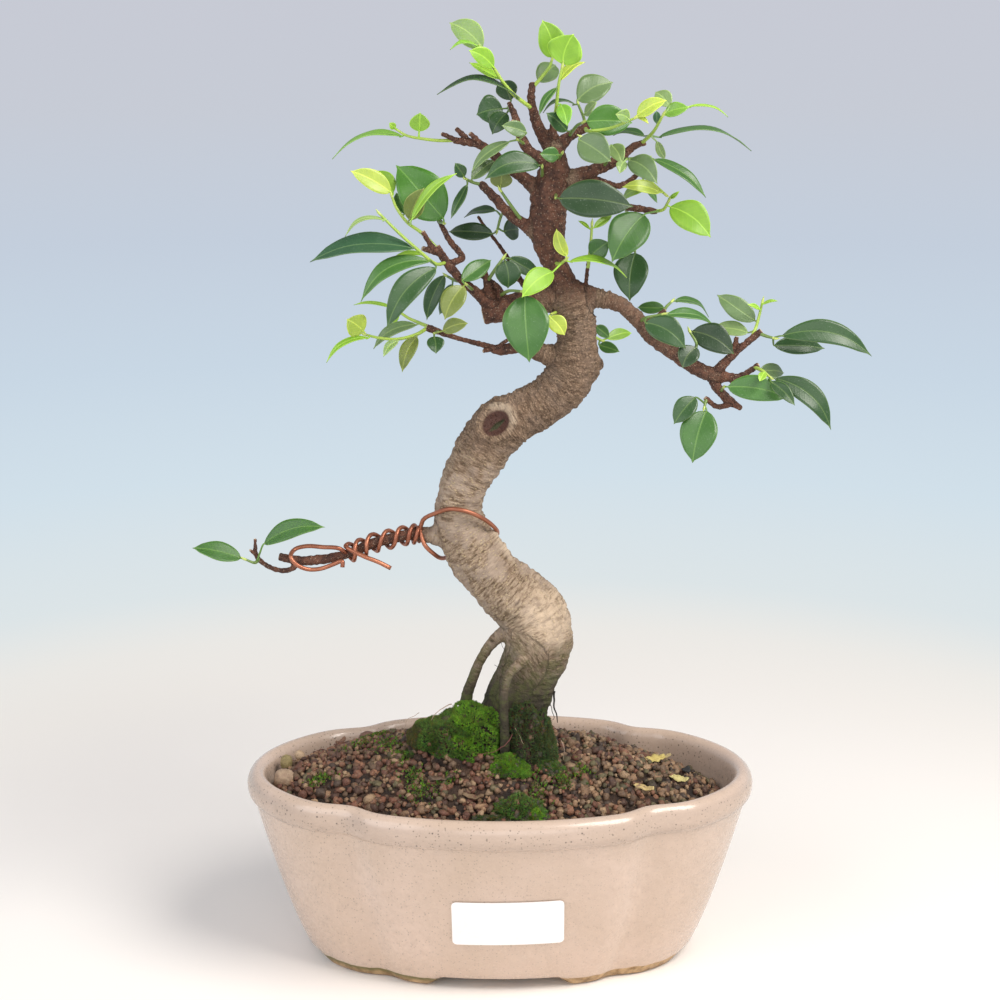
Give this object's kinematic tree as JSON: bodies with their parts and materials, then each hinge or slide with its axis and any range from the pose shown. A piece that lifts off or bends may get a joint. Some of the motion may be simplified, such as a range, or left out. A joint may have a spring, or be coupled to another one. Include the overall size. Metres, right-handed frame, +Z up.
{
  "type": "bonsai tree in a pot",
  "caption": "Small-leaved fig bonsai with a curved trunk, a wired side branch and moss, growing in an oval four-lobed glazed pot.",
  "frame": {"origin": "on the resting surface, under the middle of the whole object", "axes": "+Z up the plant, +X to its right and -Y towards its front, across the pot"},
  "size_m": [0.253, 0.121, 0.3615],
  "materials": {
    "glaze": "satin speckled glaze",
    "label": "plain matt label",
    "soil": "baked clay granules",
    "bark": "rough bark",
    "wire": "brown anodised",
    "plastic": "moulded mesh",
    "clip": "bare wire",
    "stone": "worn",
    "moss": "soft matt moss",
    "leaf_old": "waxy dark leaf",
    "leaf_new": "waxy young leaf"
  },
  "bodies": {
    "root": {"pot": "glaze", "pot_label": "label", "soil": "soil", "trunk": "bark", "training_wire": "wire", "drainage_screen_left": "plastic", "drainage_screen_right": "plastic", "screen_clip_left": "clip", "screen_clip_right": "clip", "pebble_tan_large": "stone", "pebble_green": "stone", "pebble_tan_small": "stone", "pebble_brown": "stone", "moss_mound": "moss", "moss_foot": "moss", "moss_front": "moss", "shoot_top_left": "leaf_new", "shoot_dark_left": "leaf_old", "shoot_top_middle": "leaf_new", "shoot_top_right": "leaf_new", "shoot_pale_right": "leaf_old", "shoot_dark_right": "leaf_old", "shoot_yellow_right": "leaf_new", "shoot_right_upper": "leaf_old", "shoot_right_hang": "leaf_old", "shoot_right_inner": "leaf_old", "shoot_big_dark": "leaf_old", "shoot_right_fork": "leaf_old", "shoot_lime_right": "leaf_new", "shoot_gloss_right": "leaf_old", "shoot_twig_right": "leaf_old", "shoot_lime_front": "leaf_new", "shoot_big_front": "leaf_old", "shoot_inner_left": "leaf_old", "shoot_trunk_yellow": "leaf_new", "shoot_behind_trunk": "leaf_old", "shoot_branch_upper": "leaf_old", "shoot_branch_middle": "leaf_old", "shoot_branch_dark": "leaf_old", "shoot_branch_tip_upper": "leaf_old", "shoot_branch_far": "leaf_old", "shoot_branch_lower": "leaf_old", "shoot_branch_low_leaf": "leaf_old", "shoot_branch_hang": "leaf_old", "shoot_left_spray": "leaf_old", "shoot_left_crown": "leaf_old", "shoot_left_large": "leaf_old", "shoot_left_long_twig": "leaf_old", "shoot_left_middle": "leaf_old", "shoot_left_inner_dark": "leaf_old", "shoot_left_olive": "leaf_old", "shoot_middle_long": "leaf_old", "shoot_middle_pale": "leaf_old", "shoot_middle_small": "leaf_old", "shoot_low_spray": "leaf_new", "shoot_low_dark": "leaf_old", "shoot_low_upper": "leaf_old", "shoot_left_under": "leaf_old", "shoot_left_under_near": "leaf_old", "shoot_wired_tip": "leaf_new"}
  },
  "joints": []
}
